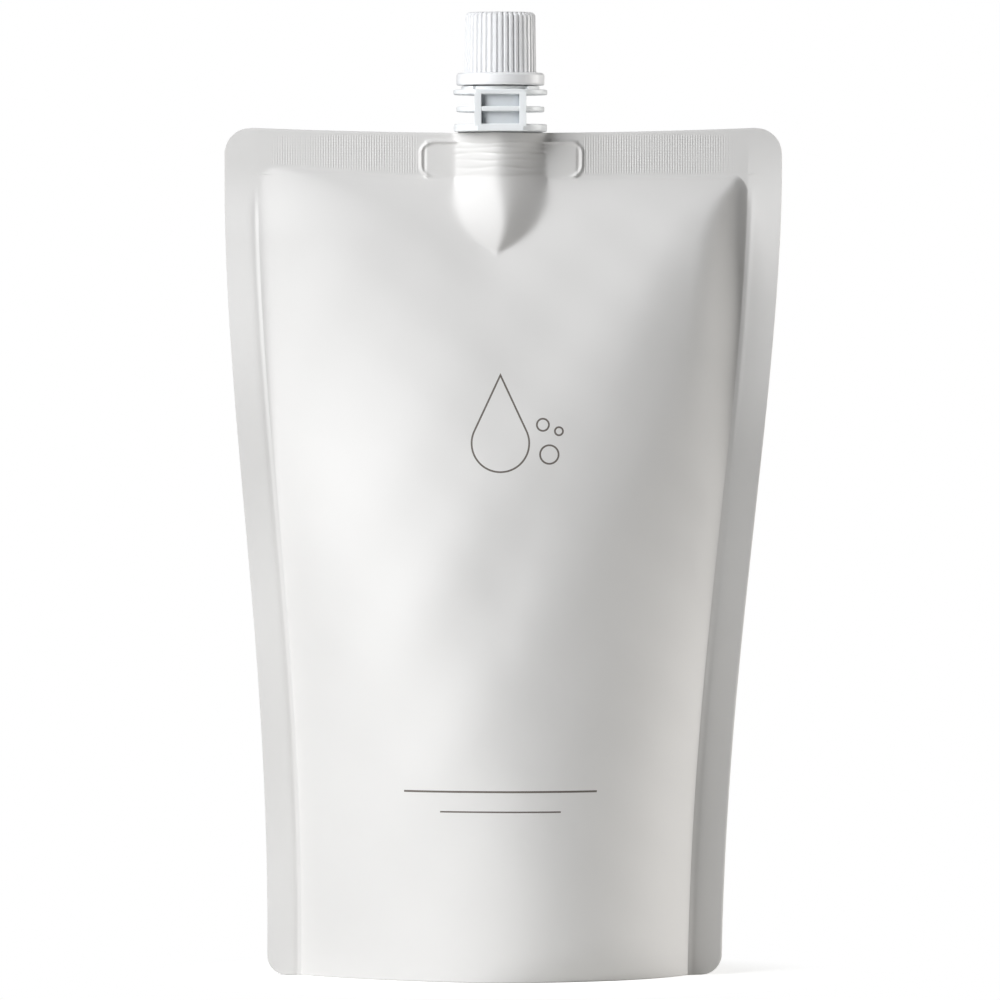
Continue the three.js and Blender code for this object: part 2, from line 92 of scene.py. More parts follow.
class PouchSettings(bpy.types.PropertyGroup):
    """Sizes and colours of the film pouch"""

    width: length("Width", "Flat width over both side seals", POUCH_HIGH.x - POUCH_LOW.x)
    height: length("Height", "Floor to the top corners", POUCH_HIGH.z + 0.3 * MM)
    base_depth: length("Base depth", "Front to back at the floor, when full", POUCH_HIGH.y - POUCH_LOW.y)
    base_width: length("Base width", "Between the side seals at the floor, when full", 97.4 * MM)
    side_seal: length("Side seal", "Width of the side seals", 8.5 * MM)
    top_seal: length("Top seal", "Height of the top seal", 12.0 * MM)
    seal_thickness: length("Seal thickness", "Both films sealed together", 0.5 * MM)
    top_dip: length("Top dip", "How far the top edge sags at the spout", 1.6 * MM)
    edge_angle_top: angle("Edge angle at the top", "Between panel and side seal at the top", 30)
    edge_angle_base: angle("Edge angle at the floor", "Between panel and side seal at the floor", 55)
    crease_rise: length("Base fold", "Height of the base fold's crease in the middle", 12 * MM)
    film: colour("Film", "Pearly white laminate film", "DDDBD9")
    ink: colour("Ink", "Warm grey printing ink", "6B645E")


class SpoutSettings(bpy.types.PropertyGroup):
    """Sizes and colours of the spout"""

    neck_radius: length("Neck radius", "Outside of the tube", 6 * MM)
    bore_radius: length("Bore radius", "Inside of the tube", 4.6 * MM)
    flange_half_depth: length("Flange half depth", "Axis to the flanges' flats", 10.2 * MM)
    guide_rib: length("Guide rib", "Thickness of the guide ribs", 1.75 * MM)
    thread_lead: length("Thread lead", "Rise of the thread in one turn", 3.2 * MM)
    plastic: colour("Plastic", "Natural white polyethylene", "F3F5F6")
    # Painted shade: this grey stands in for the shade that falls in the windows between the guide ribs, where
    # the tube sits back.
    window_shade: colour("Thin wall", "Grey that shows through the thin tube wall", "AAB1B8")


class CapSettings(bpy.types.PropertyGroup):
    """Sizes and colour of the cap and its tamper ring"""

    grip_count: IntProperty(name="Grip ribs", description="Number of ribs round the cap", default=40, min=8)
    grip_depth: length("Grip depth", "Depth of the grooves between the ribs", 0.65 * MM)
    edge_radius: length("Edge radius", "Rounding of the cap's top edge", 1.2 * MM)
    plastic: colour("Plastic", "White polyethylene", "F4F4F5")


class StageSettings(bpy.types.PropertyGroup):
    """Camera, lamps and floor"""

    distance: length("Camera distance", "From the pack's axis to the camera", 2.5)
    camera_height: length("Camera height", "Above the floor", 0.165)
    aim_height: length("Aim height", "Height of the middle of the picture", 0.1195)
    picture_width: length("Picture width", "Width of the picture at the pack", 0.2513)
    key_power: power("Key lamp", "Large soft lamp at the front left", 19.6)
    side_power: power("Side lamp", "Low soft lamp at the left", 0.12)
    rim_power: power("Rim lamp", "Soft lamp behind at the right", 9.0)
    cool_light: colour("Front light", "Light of the key and side lamps", "FBFDFF")
    warm_light: colour("Warm light", "Light of the rim lamp and of the fill", "FFFEFC")
    fill: FloatProperty(name="Fill", description="Strength of the light all round", default=0.05, min=0.0)
    paper: colour("Floor", "White studio paper", "E6E6E4")


def free_selection():
    """Leaves edit mode and selects nothing."""
    if bpy.context.object and bpy.context.object.mode != "OBJECT":
        bpy.ops.object.mode_set(mode="OBJECT")
    bpy.ops.object.select_all(action="DESELECT")


def choose(piece):
    """Makes a piece the active one and the only one selected."""
    free_selection()
    piece.select_set(True)
    bpy.context.view_layer.objects.active = piece


def edit(piece):
    """Opens a piece with all of it selected."""
    choose(piece)
    bpy.ops.object.mode_set(mode="EDIT")
    bpy.ops.mesh.select_all(action="SELECT")


def close():
    bpy.ops.object.mode_set(mode="OBJECT")
    return bpy.context.object


def close_outward():
    """Turns all faces of the open piece outward and closes it."""
    bpy.ops.mesh.select_all(action="SELECT")
    bpy.ops.mesh.normals_make_consistent(inside=False)
    return close()


def select_open_edges():
    bpy.ops.mesh.select_all(action="DESELECT")
    bpy.ops.mesh.select_non_manifold(
        use_wire=False, use_multi_face=False, use_non_contiguous=False, use_verts=False
    )


def merge(distance=1e-6):
    bpy.ops.mesh.select_all(action="SELECT")
    bpy.ops.mesh.remove_doubles(threshold=distance)


def apply(piece, kind, **settings):
    """Adds a modifier, sets it and applies it."""
    choose(piece)
    made = piece.modifiers.new(kind.title(), kind)
    for key, value in settings.items():
        setattr(made, key, value)
    bpy.ops.object.modifier_apply(modifier=made.name)


def bevel(piece, width, segments, degrees):
    """Rounds the edges where faces meet at more than this angle."""
    limit = math.radians(degrees)
    apply(piece, "BEVEL", width=width, segments=segments, limit_method="ANGLE", angle_limit=limit)


def combine(piece, others, operation):
    """Joins or cuts a piece with closed solids, which are then gone."""
    for other in others:
        apply(piece, "BOOLEAN", object=other, operation=operation, solver="EXACT")
        bpy.data.objects.remove(other)


def finish_piece(piece, name, body, node, material, smooth_angle):
    """Names a piece, smooths it, gives it its material and hangs it on its body."""
    piece.name = name
    piece.data.name = name
    choose(piece)
    bpy.ops.object.transform_apply(location=True, rotation=True, scale=True)
    bpy.ops.object.shade_smooth_by_angle(angle=math.radians(smooth_angle))
    if node != "pouch":
        apply(piece, "WEIGHTED_NORMAL", keep_sharp=True, mode="FACE_AREA_WITH_ANGLE")
    piece.data.materials.clear()
    piece.data.materials.append(material)
    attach(piece, body)
    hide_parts(node)


def turn(profile, segments):
    """Turns a half section of (radius, height) corners about the Z axis, by extruding a circle's edges.

    A section that ends where it starts gives a ring. One whose last corner is on the axis is closed there.
    """
    free_selection()
    radius, height = profile[0]
    bpy.ops.mesh.primitive_circle_add(vertices=segments, radius=radius, fill_type="NOTHING")
    edit(bpy.context.object)
    bpy.ops.transform.translate(value=(0, 0, height))
    for (r0, z0), (r1, z1) in zip(profile, profile[1:]):
        bpy.ops.mesh.extrude_edges_move(TRANSFORM_OT_translate={"value": (0, 0, z1 - z0)})
        bpy.ops.transform.resize(value=(r1 / r0, r1 / r0, 1), center_override=(0, 0, z1))
    merge()
    select_open_edges()
    if any(edge.select for edge in bmesh.from_edit_mesh(bpy.context.object.data).edges):
        bpy.ops.mesh.edge_face_add()
    return close_outward()


def block(size, middle, turned=0.0):
    """A box of this size, put in its place and turned about the Z axis, with its edges broken."""
    free_selection()
    bpy.ops.mesh.primitive_cube_add(size=1)
    edit(bpy.context.object)
    bpy.ops.transform.resize(value=size, center_override=(0, 0, 0))
    bpy.ops.transform.translate(value=middle)
    if turned:
        bpy.ops.transform.rotate(value=-turned, orient_axis="Z", center_override=(0, 0, 0))
    bpy.ops.mesh.bevel(offset=0.12 * MM, segments=2, affect="EDGES")
    return close()


def ease(low, high, value):
    """0 below low, 1 above high, and a smooth rise between."""
    t = np.clip((value - low) / (high - low), 0.0, 1.0)
    return t * t * (3 - 2 * t)


def mix(first, last, share):
    return first + (last - first) * share


def hump(offset, spread):
    """1 at an offset of 0, fading out smoothly to both sides."""
    return np.exp(-(offset / spread) ** 2)


def soft_max(a, b, blend):
    return 0.5 * (a + b + np.sqrt((a - b) ** 2 + blend ** 2))


def corner_cut(distance, radius):
    """How much a round corner takes off the width, at a distance from the end."""
    inset = np.maximum(0.0, radius - np.maximum(distance, 0.0))
    return radius - np.sqrt(np.maximum(0.0, radius ** 2 - inset ** 2))


class FilledPouch:
    """Where the film of a full pouch lies. x runs across and z up, and the depth is from the seals' plane.

    A pair of values says where a change starts and where it is complete.
    """

    # Corners, and how the sides draw in and the middle swings out towards the floor.
    TOP_CORNER = 7 * MM
    FOOT_CORNER = 5 * MM
    CHAMBER_CORNER = 4.5 * MM
    SIDE_EASE = 0.88
    BULGE_START = 1.2
    BULGE_POWER = 2.7
    # How steeply the panel leaves its side seals, as parts of the angles in the settings.
    EDGE_POWER_LEFT = 2.2
    EDGE_POWER_RIGHT = 5.0
    LEFT_EDGE = 0.3
    RIGHT_EDGE = 1.1
    RIGHT_BASE = 1.13
    CREASE_LEFT = 1.6 * MM
    CREASE_RIGHT = 0.25 * MM
    CREASE_HEIGHTS = (90 * MM, 170 * MM)
    # How much of the section is an arch, and how much a flat hip near the top at the right.
    ARCH = 0.3
    ARCH_LOSS = 0.85
    ARCH_HEIGHTS = (150 * MM, 190 * MM)
    FACET = 0.55
    FACET_HEIGHTS = (140 * MM, 196 * MM)
    RIGHT_FACET = 0.75
    # The chamber reaches higher at its left corner.
    CORNER_RISE = 2.2 * MM
    CORNER_ACROSS = (20 * MM, 58 * MM)
    CORNER_HEIGHTS = (120 * MM, 195 * MM)
    # The swell under the top seal, pinched beside the spout.
    SWELL_MIDDLE = 0.5 * MM
    SWELL_LEFT = 3.5 * MM
    SWELL_RIGHT = 8.5 * MM
    SWELL_ACROSS = (-40 * MM, 40 * MM)
    SWELL_RISE = 9 * MM
    SWELL_FADE = 40 * MM
    PINCH_LEFT = 16 * MM
    PINCH_RIGHT = 34 * MM
    PINCH_FADE = 22 * MM
    # The bulge lies to the right low down and to the left half way up, and the right foot is drawn in.
    SKEW = 8 * MM
    SKEW_HEIGHT = 90 * MM
    SKEW_BACK = 5 * MM
    SKEW_BACK_HEIGHT = 115 * MM
    SKEW_BACK_SPREAD = 30 * MM
    HEEL = 0.12
    HEEL_HEIGHT = 10 * MM
    HEEL_ACROSS = (-5 * MM, 30 * MM)
    # Side seals: a wave, their turns to the back, the left side's twist to the front, a groove, and a lean.
    SEAL_WAVE = 0.4 * MM
    SEAL_WAVE_LENGTH = 74 * MM
    SEAL_WAVE_START = 40 * MM
    RIGHT_TURN = 3.4 * MM
    RIGHT_TURN_HEIGHTS = (115 * MM, 155 * MM)
    FORWARD = 1.1 * MM
    FORWARD_HEIGHT = 192 * MM
    FORWARD_SPREAD = 16 * MM
    LEFT_TURN = 1.6 * MM
    LEFT_TURN_LEAST = 0.3
    TWIST = 5 * MM
    TWIST_HEIGHT = 150 * MM
    TWIST_SPREAD = 50 * MM
    TWIST_END = (185 * MM, 204 * MM)
    GROOVE = 0.15 * MM
    GROOVE_OUT = 0.9 * MM
    GROOVE_SPREAD = 0.7 * MM
    GROOVE_END = (190 * MM, 199 * MM)
    LEAN = 2.2 * MM
    LEAN_TOP = 0.7 * MM
    LEAN_POWER = 1.25
    HELD_SPREAD = 28 * MM
    HELD_HEIGHTS = (160 * MM, 195 * MM)
    # Waves of the loose film: height, lengths across and up in mm, and phase.
    WAVES = ((0.16, 61, 83, 0.4), (0.11, -37, 54, 1.9), (0.07, 29, -41, 3.1), (0.05, 23, 19, 5.2))
    WAVE_DEPTHS = (0.5 * MM, 9 * MM)
    WAVE_START = 14 * MM
    # The film over the spout's foot, and the tongue of film that runs off it.
    BARREL_HALF = 11.7 * MM
    BARREL_DEPTH = 6.8 * MM
    BARREL_FOOT = 200.6 * MM
    BARREL_BLEND = 0.5 * MM
    FOOT_RIDGE = 0.35
    TONGUE_RIDGE = 0.16
    TONGUE_TIP = 181.5 * MM
    TONGUE_FALL = 2.2
    TONGUE_TAPER = 3
    TIP_HALF = 0.05 * MM
    TIP_SHIFT = 1.0 * MM
    CREST_OUT = 3.0 * MM
    CREST_BACK = 4.2 * MM
    # Pressed lines in the weld: height and depth in mm.
    PRESS_LINES = ((210.5, 0.2), (209.0, 0.12), (207.2, 0.22), (205.1, 0.14), (203.0, 0.18), (201.0, 0.1))
    LINE_SPREAD = 0.32 * MM
    LINE_WANDER = 0.25 * MM
    LINE_RIGHT = (-3 * MM, 6 * MM)
    # The spout's wings, and the raised line round the weld.
    WING_DEPTH = 0.3 * MM
    WING_EDGE = (18.6 * MM, 19.5 * MM)
    WING_TOP = (0.2 * MM, 1.2 * MM)
    OUTLINE_GAP = 0.9 * MM
    OUTLINE_HALF_WIDTH = 20.15 * MM
    OUTLINE_HALF_HEIGHT = 5.2 * MM
    OUTLINE_CORNER = 3.4 * MM
    BEAD_WIDTH = 0.42 * MM
    BEAD_HEIGHT = 0.55 * MM
    BEAD_LOSS = 0.85
    BEAD_ACROSS = (13 * MM, 18.5 * MM)
    HAIR = 0.01 * MM

    def __init__(self, settings):
        self.s = settings
        self.chamber_top = settings.height - settings.top_seal
        self.film_top = settings.height - settings.top_dip
        self.outline_middle = self.film_top - self.OUTLINE_GAP - self.OUTLINE_HALF_HEIGHT

    def fall(self, z):
        return np.clip(1 - z / self.chamber_top, 0.0, 1.0)

    def half_width(self, z):
        drawn = np.sin(math.pi / 2 * self.fall(z) ** self.SIDE_EASE) ** 2
        return mix(self.s.width / 2 - self.s.side_seal, self.s.base_width / 2, drawn)

    def chamber_half(self, z):
        cut = corner_cut(self.chamber_top - z, self.CHAMBER_CORNER)
        return self.half_width(z) - cut * (z < self.chamber_top)

    def outer_half(self, z):
        cut = corner_cut(self.s.height - z, self.TOP_CORNER) + corner_cut(z, self.FOOT_CORNER)
        return self.half_width(z) + self.s.side_seal - cut

    def mid_depth(self, z):
        return self.s.base_depth / 2 * (1 - (1 - self.fall(z) ** self.BULGE_START) ** self.BULGE_POWER)

    def swell(self, x, z):
        """How far the film stands out close below the top seal, less so beside the spout."""
        below = np.maximum(0.0, self.chamber_top - z)
        rise = (1 - np.exp(-below / self.SWELL_RISE)) * np.exp(-below / self.SWELL_FADE)
        full = mix(self.SWELL_LEFT, self.SWELL_RIGHT, ease(*self.SWELL_ACROSS, x))
        pinch = hump(x, np.where(x < 0, self.PINCH_LEFT, self.PINCH_RIGHT)) * np.exp(-below / self.PINCH_FADE)
        return rise * mix(full, self.SWELL_MIDDLE, pinch)

    def corner_rise(self, x):
        """How much higher the chamber reaches towards its left corner."""
        return self.CORNER_RISE * ease(*self.CORNER_ACROSS, -x)

    def panel(self, x, z):
        """Depth of the filled panel: flat in the middle, round at the sides, with a hip at the upper right.

        The left side starts softly from its seal, and the right one with a crease.
        """
        z = z - self.corner_rise(x) * ease(*self.CORNER_HEIGHTS, z)
        half = self.chamber_half(z)
        depth = np.maximum(self.mid_depth(z) + self.swell(x, z), 1e-6)
        heel = 1 - self.HEEL * ease(*self.HEEL_ACROSS, x) * np.maximum(0.0, 1 - z / self.HEEL_HEIGHT) ** 2
        skew = self.SKEW * (1 - ease(0, self.SKEW_HEIGHT, z))
        skew = skew - self.SKEW_BACK * hump(z - self.SKEW_BACK_HEIGHT, self.SKEW_BACK_SPREAD)
        x = x - skew * np.maximum(0.0, 1 - (x / half) ** 2)
        left = x < 0
        edge_power = np.where(left, self.EDGE_POWER_LEFT, self.EDGE_POWER_RIGHT)
        top = self.s.edge_angle_top * np.where(left, self.LEFT_EDGE, self.RIGHT_EDGE)
        base = self.s.edge_angle_base * np.where(left, 1.0, self.RIGHT_BASE)
        tilt = mix(base, top, np.clip(z / self.chamber_top, 0.0, 1.0) ** edge_power)
        soft = mix(self.CREASE_RIGHT, self.CREASE_LEFT, left * ease(*self.CREASE_HEIGHTS, z))
        inside = np.maximum(0.0, half - np.abs(x))
        inside = np.sqrt(inside ** 2 + soft ** 2) - soft
        shoulder = np.minimum(half, depth / np.tan(tilt / 2))
        radius = (shoulder ** 2 + depth ** 2) / (2 * depth)
        along = np.clip(shoulder - inside, 0.0, shoulder)
        rounded = depth - radius + np.sqrt(radius ** 2 - along ** 2)
        arch = depth * (1 - np.minimum(1.0, 1 - inside / half) ** 2)
        rounded = mix(rounded, arch, self.ARCH * (1 - self.ARCH_LOSS * ease(*self.ARCH_HEIGHTS, z)))
        hip = np.minimum(half, 2 * depth / (np.tan(tilt) * (1 + self.FACET)))
        slope = 2 * depth / (hip * (1 + self.FACET))
        inside = np.minimum(inside, hip)
        bent = np.maximum(0.0, inside - self.FACET * hip)
        faceted = slope * (inside - bent ** 2 / (2 * hip * (1 - self.FACET)))
        flat = ease(*self.FACET_HEIGHTS, z) * np.where(left, 0.0, self.RIGHT_FACET)
        return np.maximum(0.0, mix(rounded, faceted, flat)) * heel * (np.abs(x) < half)

    def foot(self, x):
        """Depth of the film at the floor. The last hair's breadth before the side seals is closed."""
        depth = self.panel(x, x * 0)
        return np.where(depth < self.HAIR, 0.0, depth)

    def boat(self, share, ridge):
        """Section of the weld foot from its ridge, at 0, to its edge, at 1: two flanks and a round ridge."""
        return 1 - (np.sqrt(share ** 2 + ridge ** 2) - ridge) / (np.sqrt(1 + ridge ** 2) - ridge)

    def tongue(self, x, z):
        """How far the film that runs off the spout's foot stands out of the panel: a keel with a tip."""
        s = np.clip((self.BARREL_FOOT - z) / (self.BARREL_FOOT - self.TONGUE_TIP), 0.0, 1.0)
        foot = self.BARREL_DEPTH - self.panel(np.zeros(1), np.full(1, self.BARREL_FOOT))[0]
        height = foot * (1 - s ** self.TONGUE_FALL)
        half = np.maximum(self.TIP_HALF, self.BARREL_HALF * (1 - s ** self.TONGUE_TAPER))
        middle = -self.TIP_SHIFT * s ** 2
        crest = self.CREST_OUT * s - self.CREST_BACK * s ** 3
        crest = np.clip(crest, middle - half / 2, middle + half / 2)
        to_left, to_right = (crest - x) / (crest - middle + half), (x - crest) / (middle + half - crest)
        away = np.where(x < crest, to_left, to_right)
        ridge = mix(self.FOOT_RIDGE, self.TONGUE_RIDGE, ease(0.0, 0.6, s))
        blend = mix(0.02, 0.18, ease(0.0, 0.35, s))
        return height * soft_max(self.boat(away, ridge), 0.0, blend) * (away < 4)

    def weld(self, x, z):
        """Depth of the film over the spout's foot and wings. Its pressed lines are stronger on the right."""
        barrel = self.BARREL_DEPTH * self.boat(x / self.BARREL_HALF, self.FOOT_RIDGE)
        lines = 0.0
        for order, (at, deep) in enumerate(self.PRESS_LINES):
            level = at * MM + self.LINE_WANDER * np.sin(x / (2.3 * MM) + 2.0 * order)
            strength = 0.7 + 0.3 * np.sin(x / (1.7 * MM) + 1.3 * order)
            lines = lines + deep * MM * strength * hump(z - level, self.LINE_SPREAD)
        barrel = barrel - lines * mix(0.9, 1.8, ease(*self.LINE_RIGHT, x))
        wing = self.WING_DEPTH * (1 - ease(*self.WING_EDGE, np.abs(x)))
        return barrel, wing * ease(*self.WING_TOP, self.film_top - z)

    def bead(self, x, z):
        """The raised line round the weld, fading out under the spout."""
        dx = np.abs(x) - self.OUTLINE_HALF_WIDTH + self.OUTLINE_CORNER
        dz = np.abs(z - self.outline_middle) - self.OUTLINE_HALF_HEIGHT + self.OUTLINE_CORNER
        outside = np.sqrt(np.maximum(dx, 0) ** 2 + np.maximum(dz, 0) ** 2)
        distance = outside + np.minimum(np.maximum(dx, dz), 0.0) - self.OUTLINE_CORNER
        under = (1 - ease(*self.BEAD_ACROSS, np.abs(x))) * (z < self.outline_middle)
        return self.BEAD_HEIGHT * (1 - self.BEAD_LOSS * under) * hump(distance, self.BEAD_WIDTH)

    def slack(self, x, z, side):
        """Faint waves of the loose film, different on the front and the back."""
        total = 0.0
        for high, across, up, phase in self.WAVES:
            turned = FULL_TURN * (x / (across * MM) + z / (up * MM))
            total = total + high * MM * np.sin(turned + phase + 2.1 * side)
        return total * ease(*self.WAVE_DEPTHS, self.panel(x, z)) * ease(0, self.WAVE_START, z)

    def depth(self, x, z, side):
        flat = self.s.seal_thickness / 2
        edge = np.abs(x) - self.half_width(z) - self.GROOVE_OUT
        groove = self.GROOVE * hump(edge, self.GROOVE_SPREAD) * (1 - ease(*self.GROOVE_END, z))
        film = flat + self.panel(x, z) + self.slack(x, z, side) - groove + self.tongue(x, z)
        barrel, wing = self.weld(x, z)
        welded = soft_max(flat + wing + self.bead(x, z), flat + barrel, self.BARREL_BLEND)
        above = z - self.corner_rise(x) - self.BARREL_FOOT
        return mix(film, welded, ease(-self.BARREL_BLEND, self.BARREL_BLEND, above))

    def warp(self, x, z):
        """How far the seals lie to the front or back, with a slight wave.

        The right seal turns back low down. The left side comes forward above the middle.
        """
        out = np.maximum(0.0, np.abs(x) - self.half_width(z)) / self.s.side_seal
        phase = z * FULL_TURN / self.SEAL_WAVE_LENGTH + np.sign(x) * 0.9 + 0.6
        wave = self.SEAL_WAVE * np.sin(phase) * ease(0, self.SEAL_WAVE_START, z)
        forward = self.FORWARD * hump(z - self.FORWARD_HEIGHT, self.FORWARD_SPREAD)
        high = hump(z - self.TWIST_HEIGHT, self.TWIST_SPREAD) * (1 - ease(*self.TWIST_END, z))
        right = self.RIGHT_TURN * (1 - ease(*self.RIGHT_TURN_HEIGHTS, z)) - forward
        strip = out * (wave + np.where(x > 0, right, self.LEFT_TURN * (self.LEFT_TURN_LEAST + high)))
        return strip - self.TWIST * high * (np.minimum(x, 0.0) / self.half_width(z)) ** 2

    def lean(self, x, z):
        """How far the film leans to the left towards the foot. It stays in place round the spout."""
        held = hump(x, self.HELD_SPREAD) * ease(*self.HELD_HEIGHTS, z)
        return (self.LEAN_TOP - self.LEAN * self.fall(z) ** self.LEAN_POWER) * (1 - held)


def spaced(start, stop, step):
    return list(np.linspace(start, stop, max(2, round(abs(stop - start) / step) + 1)))


def pouch_rows(shape):
    """Heights of the grid's rows: close together at the foot corners and over the weld."""
    spans = ((0, 1, 0.2), (1, 6, 0.5), (6, 170, 2.4), (170, 182, 1), (182, 199, 0.42))
    heights = spaced(199 * MM, shape.s.height, 0.28 * MM)
    for start, stop, step in spans:
        heights += spaced(start * MM, stop * MM, step * MM)
    return np.array(sorted({round(float(z), 7) for z in heights}))


def pouch_columns(shape, z):
    """Places of the grid's columns at one height: fixed over the weld, spread between it and the edges."""
    fixed = [0.0]
    for start, stop, step in ((0, 9, 0.6), (9, 13, 0.2), (13, 18, 0.6), (18, 22, 0.16)):
        fixed += spaced(start * MM, stop * MM, step * MM)[1:]
    half = shape.chamber_half(z)
    sides = list(mix(fixed[-1], half, np.sin(np.linspace(0, math.pi / 2, 37))[1:]))
    shares = (0.03, 0.06, 0.09, 0.12, 0.15, 0.19, 0.24, 0.35, 0.55, 0.8, 0.93, 0.985, 1.0)
    seal = [mix(half, shape.outer_half(z), share) for share in shares]
    right = fixed + sides + seal
    return np.array([-x for x in reversed(right[1:])] + right)


def lay_grid(points):
    """A grid primitive moved to these points, which are in rows of columns."""
    rows, columns = points.shape[:2]
    free_selection()
    bpy.ops.mesh.primitive_grid_add(x_subdivisions=columns - 1, y_subdivisions=rows - 1, size=1)
    piece = bpy.context.object
    piece.data.vertices.foreach_set("co", points.astype(np.float32).ravel())
    piece.data.update()
    return piece


def film_side(shape, rows, x, side):
    """One panel of film. Its edges lie in the seals' plane, except at the floor and round the spout."""
    z = np.repeat(rows[:, None], x.shape[1], axis=1)
    dip = shape.s.top_dip * (1 - (x / (shape.s.width / 2)) ** 2)
    lower = dip * ease(shape.chamber_top + 1 * MM, shape.s.height, z)
    y = shape.depth(x, z, side)
    y[:, 0] = 0.0
    y[:, -1] = 0.0
    y[0] = shape.foot(x[0])
    mouth = np.abs(x[-1]) < shape.BARREL_HALF + 0.35 * MM
    y[-1] = np.where(mouth, y[-1], 0.0)
    return np.stack([x + shape.lean(x, z), side * y + shape.warp(x, z), z - lower], axis=-1)


def base_fold(shape, columns):
    """The film under the pouch, folded up to a crease that is higher at its ends, between front and back."""
    steps, end_rise, steepest, crease_power, flat_edge = 33, 1.5, 1.6, 1.5, 0.12
    half = shape.chamber_half(np.array(0.0))
    x = columns[np.abs(columns) <= half + 1e-7]
    floor = x * 0
    edge = shape.foot(x)
    across = np.linspace(-1, 1, steps)[:, None]
    rise = np.minimum(shape.s.crease_rise * (1 + end_rise * (x / half) ** 2), steepest * edge)
    y = across * edge + shape.warp(x, floor)
    z = rise * (1 - np.abs(across) ** crease_power) * ease(0, flat_edge, 1 - np.abs(across))
    return np.stack([np.repeat((x + shape.lean(x, floor))[None], steps, axis=0), y, z], axis=-1)


def add_node(tree, kind, inputs=None, **settings):
    """Adds a shader node with its settings. An input is a value, or a socket to link to."""
    made = tree.nodes.new("ShaderNode" + kind)
    for key, value in settings.items():
        setattr(made, key, value)
    for key, value in (inputs or {}).items():
        if isinstance(value, bpy.types.NodeSocket):
            tree.links.new(value, made.inputs[key])
        else:
            made.inputs[key].default_value = value
    return made


def new_material(name):
    material = bpy.data.materials.new(name)
    material.use_nodes = True
    tree = material.node_tree
    tree.nodes.clear()
    surface = add_node(tree, "BsdfPrincipled")
    add_node(tree, "OutputMaterial", {"Surface": surface.outputs["BSDF"]})
    place = add_node(tree, "TexCoord")
    return material, tree, surface, place.outputs["Object"]


def print_mask(tree, place):
    """A drop with bubbles and two thin rules, as ink on the front panel."""
    x, y, z = add_node(tree, "SeparateXYZ", {0: place}).outputs
    flat = add_node(tree, "CombineXYZ", {"X": x, "Y": z}).outputs[0]
    line = 0.45 * MM
    marks = []

    # The drop is a round bowl below and two straight flanks above, which touch it.
    radius, tip, middle = 7.4 * MM, 17.5 * MM, 134 * MM
    lean = radius / tip
    rise = math.sqrt(1 - lean ** 2)
    side = add_node(tree, "Math", {0: x}, operation="ABSOLUTE").outputs[0]
    up = add_node(tree, "Math", {0: z, 1: middle}, operation="SUBTRACT").outputs[0]
    point = add_node(tree, "CombineXYZ", {"X": side, "Y": up}).outputs[0]
    above = add_node(tree, "VectorMath", {0: point, 1: (-lean, rise, 0)}, operation="DOT_PRODUCT")
    flank = add_node(tree, "VectorMath", {0: point, 1: (rise, lean, 0)}, operation="DOT_PRODUCT")
    bowl = add_node(tree, "VectorMath", {0: point}, operation="LENGTH")
    upper = add_node(tree, "Math", {0: above.outputs["Value"], 1: 0.0}, operation="GREATER_THAN")
    reach = add_node(tree, "Mix", {
        "Factor": upper.outputs[0], "A": bowl.outputs["Value"], "B": flank.outputs["Value"],
    }, data_type="FLOAT")
    marks.append(add_node(tree, "Math", {
        0: reach.outputs[0], 1: radius - line / 2, 2: line / 2,
    }, operation="COMPARE").outputs[0])

    for across, height, size in ((12.2, 131.2, 2.3), (10.6, 138.6, 1.5), (14.6, 137.0, 1.0)):
        bubble = (across * MM, height * MM, 0)
        away = add_node(tree, "VectorMath", {0: flat, 1: bubble}, operation="DISTANCE")
        marks.append(add_node(tree, "Math", {
            0: away.outputs["Value"], 1: size * MM, 2: line / 2,
        }, operation="COMPARE").outputs[0])

    for height, half, thick in ((47.5, 24.0, 0.5), (42.5, 15.0, 0.4)):
        level = add_node(tree, "Math", {0: z, 1: height * MM, 2: thick / 2 * MM}, operation="COMPARE")
        within = add_node(tree, "Math", {0: x, 1: 0.0, 2: half * MM}, operation="COMPARE")
        marks.append(add_node(tree, "Math", {
            0: level.outputs[0], 1: within.outputs[0],
        }, operation="MULTIPLY").outputs[0])

    total = marks[0]
    for mark in marks[1:]:
        total = add_node(tree, "Math", {0: total, 1: mark}, operation="MAXIMUM").outputs[0]
    front = add_node(tree, "Math", {0: y, 1: 0.0}, operation="LESS_THAN")
    return add_node(tree, "Math", {0: total, 1: front.outputs[0]}, operation="MULTIPLY").outputs[0]


